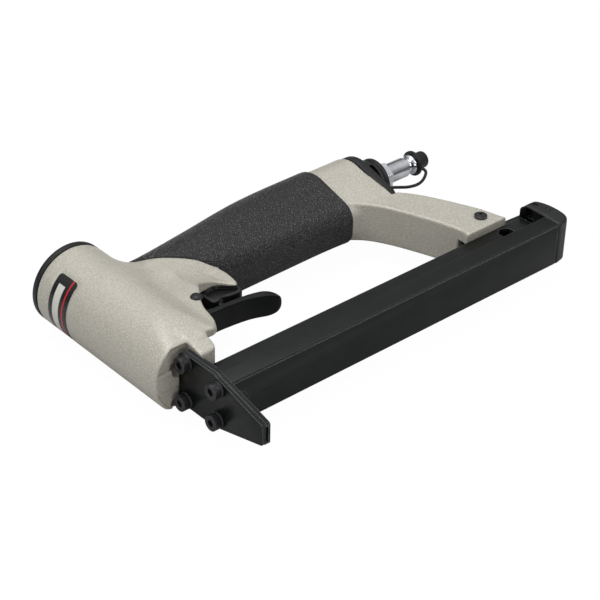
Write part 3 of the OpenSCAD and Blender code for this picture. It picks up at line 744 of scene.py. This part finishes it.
def build_end_cap():
    """The magazine's end cap: a rounded hood, open towards the head above the cover."""
    f = Field((212.5, -1, -14.2), (238.4, 27, 14.2), 0.32)
    x, y, z = f.x, f.y, f.z
    az = np.abs(z)
    flat = np.ones_like(z)
    side = outline(x, y, bend(END_CAP, 4)) * flat
    hood = meet(side, az - 13.3, 2.2)
    inside = np.maximum(np.maximum(slab(x, 227, 234.8), slab(y, 1.5, 24.3)), az - 11.8)
    mouth = np.maximum(np.maximum(slab(x, 214, 228), slab(y, 10.3, 24.4)), az - 11.8)
    hood = cut(hood, np.minimum(inside, mouth), 0.5)
    hood = cut(hood, np.maximum(np.maximum(x - 231.5, 24 - y), az - 5.4), 0.6)
    tab = np.maximum(np.maximum(slab(x, 214, 227), slab(y, 1.25, 7.2)), slab(az, 4.3, 11.5))
    hood = np.minimum(hood, tab)
    for pin in ((230.5, 22), (232.5, 14)):
        hood = cut(hood, disc(x, y, pin, 1.55) + 0 * z, 0.4)
    web = np.maximum(np.maximum(slab(x, 226.2, 229), slab(y, 12, 18.5)), az - 12.2)
    web = np.minimum(web, np.maximum(np.maximum(slab(x, 226.2, 235.1), slab(y, 15.4, 16.2)), az - 12.2))
    hood = np.minimum(hood, np.maximum(web, 1.55 - np.sqrt((y - 16) ** 2 + z * z)))
    return stand_for(surface("end_cap_hood", f, hood), "magazine_end_cap")


def build_label():
    """The film on the head: a thin patch with round corners, wrapped to the head's radius."""
    half, low, high, corner, skin = 21.6, 108.0, 123.0, 2.2, 22.86
    across, rows = 72, 24
    bm = bmesh.new()
    grid = []
    for j in range(rows + 1):
        v = -math.cos(math.pi * j / rows)
        y = (low + high) / 2 + v * (high - low) / 2
        near = max(0.0, corner - (high - low) / 2 * (1 - abs(v)))
        reach = half - corner + math.sqrt(max(corner ** 2 - near ** 2, 0.0))
        row = []
        for i in range(across + 1):
            a = (2 * i / across - 1) * reach / HEAD_R
            row.append(bm.verts.new(place(-skin * math.cos(a), y, skin * math.sin(a))))
        grid.append(row)
    for j in range(rows):
        for i in range(across):
            bm.faces.new((grid[j][i], grid[j][i + 1], grid[j + 1][i + 1], grid[j + 1][i]))
    bmesh.ops.recalc_face_normals(bm, faces=bm.faces)
    me = bpy.data.meshes.new("label_patch")
    bm.to_mesh(me)
    bm.free()
    me.polygons.foreach_set("use_smooth", np.ones(len(me.polygons), bool))
    tmp = bpy.data.objects.new("label_patch", me)
    bpy.context.scene.collection.objects.link(tmp)
    thick = tmp.modifiers.new("film", "SOLIDIFY")
    thick.thickness = 0.16 * MM
    thick.offset = 0
    bpy.context.view_layer.update()
    tmp.data = bpy.data.meshes.new_from_object(tmp.evaluated_get(bpy.context.evaluated_depsgraph_get()))
    tmp.modifiers.clear()
    return stand_for(tmp, "label")


build_housing()
build_grip()
build_trigger()
build_valve_block()
build_end_cap()
build_label()

EDGE_WIDTH = {
    "head_cap": 0.7, "nose_plate": 0.35, "nose_body": 0.35, "nose_screws": 0.35, "nose_washers": 0.2,
    "magazine_rail": 0.35, "rail_bracket": 0.4, "magazine_cover": 0.35,
    "latch_lever": 0.4, "latch_pin": 0.3, "end_cap_pin": 0.3, "arm_screw": 0.3, "arm_nut": 0.3,
    "trigger_pin": 0.3, "rear_end_plate": 0.8, "exhaust_deflector": 0.5, "tether_ring": 0.5,
    "air_plug": 0.25, "dust_cap": 0.5, "end_plate_screws": 0.2, "head_cap_screws": 0.2,
}
for node, width in EDGE_WIDTH.items():
    eased(node, width)


TETHER_R = 0.9


def build_tether():
    """The dust cap's strap: a round rubber cord along the CAD's route, drawn out with the cap."""
    route = [(196.6, 102.2), (199.4, 100.5), (202.2, 98.4), (205.3, 96.2), (208.9, 94.9),
             (212.7, 94.6), (216.6, 95.6), (220.4, 97.5), (223.2, 99.4), (225.6, 101.5),
             (226.9, 103.6), (227.1, 106.9)]
    curve = bpy.data.curves.new("tether_route", "CURVE")
    curve.dimensions = "3D"
    curve.bevel_depth = TETHER_R * MM
    curve.bevel_resolution = 5
    curve.resolution_u = 8
    line = curve.splines.new("BEZIER")
    line.bezier_points.add(len(route) - 1)
    for b, (x, y) in zip(line.bezier_points, route):
        b.co = place(x, y)
        b.handle_left_type = b.handle_right_type = "AUTO"
    curve.use_fill_caps = True
    tmp = bpy.data.objects.new("tether_route", curve)
    bpy.context.scene.collection.objects.link(tmp)
    bpy.context.view_layer.update()
    me = bpy.data.meshes.new_from_object(tmp.evaluated_get(bpy.context.evaluated_depsgraph_get()))
    bpy.data.objects.remove(tmp)
    for p in me.polygons:
        p.use_smooth = True
    ob = bpy.data.objects.new("tether_strap", me)
    bpy.context.scene.collection.objects.link(ob)
    dress(ob, "tether_rubber")
    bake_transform(ob)
    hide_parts("tether")


build_tether()


def build_springs():
    """The springs, each a copy of its CAD node's shape that moves with that node's body.

    keep, the share of its length that a spring would still have at the end of the joint's range, is not
    used."""
    for node, joint, axis, seat, keep in (
        ("trigger_valve_spring", "trigger_hinge", (0, 1, 0), (48, 103.8, 0), 0.45),
        ("head_valve_spring", "head_valve_slide", (0, 1, 0), (0, 131.4, 0), 0.8),
        ("pusher_spring", "pusher_slide", (1, 0, 0), (226, 16, 0), 0.25),
        ("latch_spring", "latch_hinge", (0, 1, 0), (232.4, 16.2, 0), 0.75),
    ):
        source = frame["nodes"][node]
        spring = bpy.data.objects.new(node + "_coil", source.data.copy())
        bpy.context.scene.collection.objects.link(spring)
        spring.matrix_world = source.matrix_world
        stand_for(spring, node)
        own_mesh(spring)


build_springs()

# ---------------------------------------------------------------- floor and light
FLOOR_GLOW = 0.94       # the share of the floor that the camera sees as plain white
FLOOR_DROP = 0.0002     # metres: the rounded skins reach that far below the CAD
floor_mesh = bpy.data.meshes.new("floor")
floor_mesh.from_pydata([(-6, -6, 0), (6, -6, 0), (6, 6, 0), (-6, 6, 0)], [], [(0, 1, 2, 3)])
floor = bpy.data.objects.new("floor", floor_mesh)
bpy.context.scene.collection.objects.link(floor)
floor.location.z = -FLOOR_DROP
pale = Nodes("pale_floor")
speck = pale.noise(30, 4)
pale.colour(pale.mix(pale.ramp(speck, "Fac", 0.3, 0.7, 0, 1), "Result",
                     (0.46, 0.46, 0.46, 1), (0.5, 0.5, 0.5, 1)))
pale.rough(speck, "Fac", 0.3, 0.7, 0.9, 0.8)
glow = pale.add("ShaderNodeEmission", Strength=1.04)
seen = pale.add("ShaderNodeLightPath")
share = pale.ramp(seen, "Is Camera Ray", 0, 1, 0, FLOOR_GLOW)
blend = pale.add("ShaderNodeMixShader")
pale.link(share, "Result", blend, "Fac")
pale.tree.links.new(pale.bsdf.outputs[0], blend.inputs[1])
pale.tree.links.new(glow.outputs[0], blend.inputs[2])
pale.link(blend, "Shader", pale.out, "Surface")
floor_mesh.materials.append(pale.mat)

world = bpy.data.worlds.new("studio")
world.use_nodes = True
bpy.context.scene.world = world
background = world.node_tree.nodes["Background"]
background.inputs["Color"].default_value = (1.0, 1.0, 1.0, 1.0)
way = world.node_tree.nodes.new("ShaderNodeTexCoord")
part = world.node_tree.nodes.new("ShaderNodeSeparateXYZ")
rise = world.node_tree.nodes.new("ShaderNodeMapRange")
rise.interpolation_type = "SMOOTHSTEP"
rise.inputs["From Min"].default_value = 0.1
rise.inputs["From Max"].default_value = 0.85
rise.inputs["To Min"].default_value = 0.12
rise.inputs["To Max"].default_value = 0.78
world.node_tree.links.new(way.outputs["Generated"], part.inputs[0])
world.node_tree.links.new(part.outputs["Z"], rise.inputs["Value"])
world.node_tree.links.new(rise.outputs["Result"], background.inputs["Strength"])


def softbox(name, where, aim, size, power):
    """A rectangular lamp, in metres and watts, turned towards a point."""
    data = bpy.data.lights.new(name, "AREA")
    data.shape = "RECTANGLE"
    data.size, data.size_y = size
    data.energy = power
    ob = bpy.data.objects.new(name, data)
    bpy.context.scene.collection.objects.link(ob)
    ob.location = where
    ob.rotation_euler = (Vector(aim) - Vector(where)).to_track_quat("-Z", "Y").to_euler()


softbox("overhead", (-0.1, 0.25, 1.3), (0, 0, 0), (1.0, 0.8), 7.6)
softbox("left", (-1.2, 0.3, 0.8), (0, 0, 0.02), (0.6, 0.8), 3.6)
softbox("front_strip", (0.75, -0.72, 0.8), (0, 0, 0.02), (0.12, 0.9), 2.0)
softbox("low_front", (-0.25, -1.2, 0.35), (-0.05, 0, 0.02), (0.9, 0.3), 3.2)

bpy.context.scene.view_settings.view_transform = "Standard"
